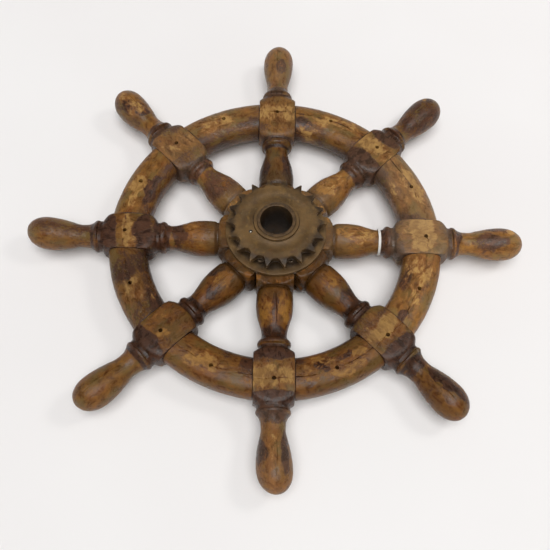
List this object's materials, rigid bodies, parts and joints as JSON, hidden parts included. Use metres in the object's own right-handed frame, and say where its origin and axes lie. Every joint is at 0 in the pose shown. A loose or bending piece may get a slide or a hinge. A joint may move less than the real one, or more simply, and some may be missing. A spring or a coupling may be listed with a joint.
{
  "type": "ship steering wheel",
  "caption": "Old wooden ship's steering wheel with turned spokes and handles, a rim of butted felloes and an iron chain sprocket on its flanged hub.",
  "frame": {"origin": "on the wheel's axis, on the plane that its back end rests on", "axes": "+Z along the wheel's axis towards the sprocket; +X along spoke 1, which carries the cotton tie; +Y along spoke 3"},
  "size_m": [0.61, 0.61, 0.085],
  "materials": {
    "varnished_hardwood": "old brown varnish, dark red-brown in the hollows and worn to pale bare wood on the crowns, grain along each piece, fine cracks",
    "bare_dowel_wood": "unvarnished straight-grained dowel",
    "greasy_cast_iron": "olive-brown cast iron, satin with old grease, darker between the teeth",
    "bolt_steel": "browned forged steel",
    "bright_pin_steel": "worn bright end of a steel pin",
    "bronze_bush": "dull brown bronze, greasy",
    "white_cotton": "white woven cotton tape"
  },
  "bodies": {
    "root": {"axle_bush": "bronze_bush"},
    "wheel": {"spoke_1": "varnished_hardwood", "spoke_2": "varnished_hardwood", "spoke_3": "varnished_hardwood", "spoke_4": "varnished_hardwood", "spoke_5": "varnished_hardwood", "spoke_6": "varnished_hardwood", "spoke_7": "varnished_hardwood", "spoke_8": "varnished_hardwood", "felloe_1": "varnished_hardwood", "felloe_2": "varnished_hardwood", "felloe_3": "varnished_hardwood", "felloe_4": "varnished_hardwood", "felloe_5": "varnished_hardwood", "felloe_6": "varnished_hardwood", "felloe_7": "varnished_hardwood", "felloe_8": "varnished_hardwood", "rim_dowel_1a": "bare_dowel_wood", "rim_dowel_1b": "bare_dowel_wood", "rim_dowel_2a": "bare_dowel_wood", "rim_dowel_2b": "bare_dowel_wood", "rim_dowel_3a": "bare_dowel_wood", "rim_dowel_3b": "bare_dowel_wood", "rim_dowel_4a": "bare_dowel_wood", "rim_dowel_4b": "bare_dowel_wood", "rim_dowel_5a": "bare_dowel_wood", "rim_dowel_5b": "bare_dowel_wood", "rim_dowel_6a": "bare_dowel_wood", "rim_dowel_6b": "bare_dowel_wood", "rim_dowel_7a": "bare_dowel_wood", "rim_dowel_7b": "bare_dowel_wood", "rim_dowel_8a": "bare_dowel_wood", "rim_dowel_8b": "bare_dowel_wood", "hub_bolt_1": "bolt_steel", "hub_bolt_2": "bolt_steel", "hub_bolt_3": "bolt_steel", "hub_bolt_4": "bolt_steel", "hub_bolt_5": "bolt_steel", "hub_bolt_6": "bolt_steel", "hub_bolt_7": "bolt_steel", "hub_bolt_8": "bolt_steel", "hub_nut_1": "bolt_steel", "hub_nut_2": "bolt_steel", "hub_nut_3": "bolt_steel", "hub_nut_4": "bolt_steel", "hub_nut_5": "bolt_steel", "hub_nut_6": "bolt_steel", "hub_nut_7": "bolt_steel", "hub_nut_8": "bolt_steel", "front_flange": "greasy_cast_iron", "back_flange": "greasy_cast_iron", "chain_sprocket": "greasy_cast_iron", "sprocket_lock_pin": "bright_pin_steel", "cotton_tie": "white_cotton"}
  },
  "joints": [
    {"name": "wheel_spin", "type": "hinge", "parent": "root", "child": "wheel", "pos_m": [0, 0, 0.0345], "axis": [0, 0, 1], "continuous": true}
  ]
}
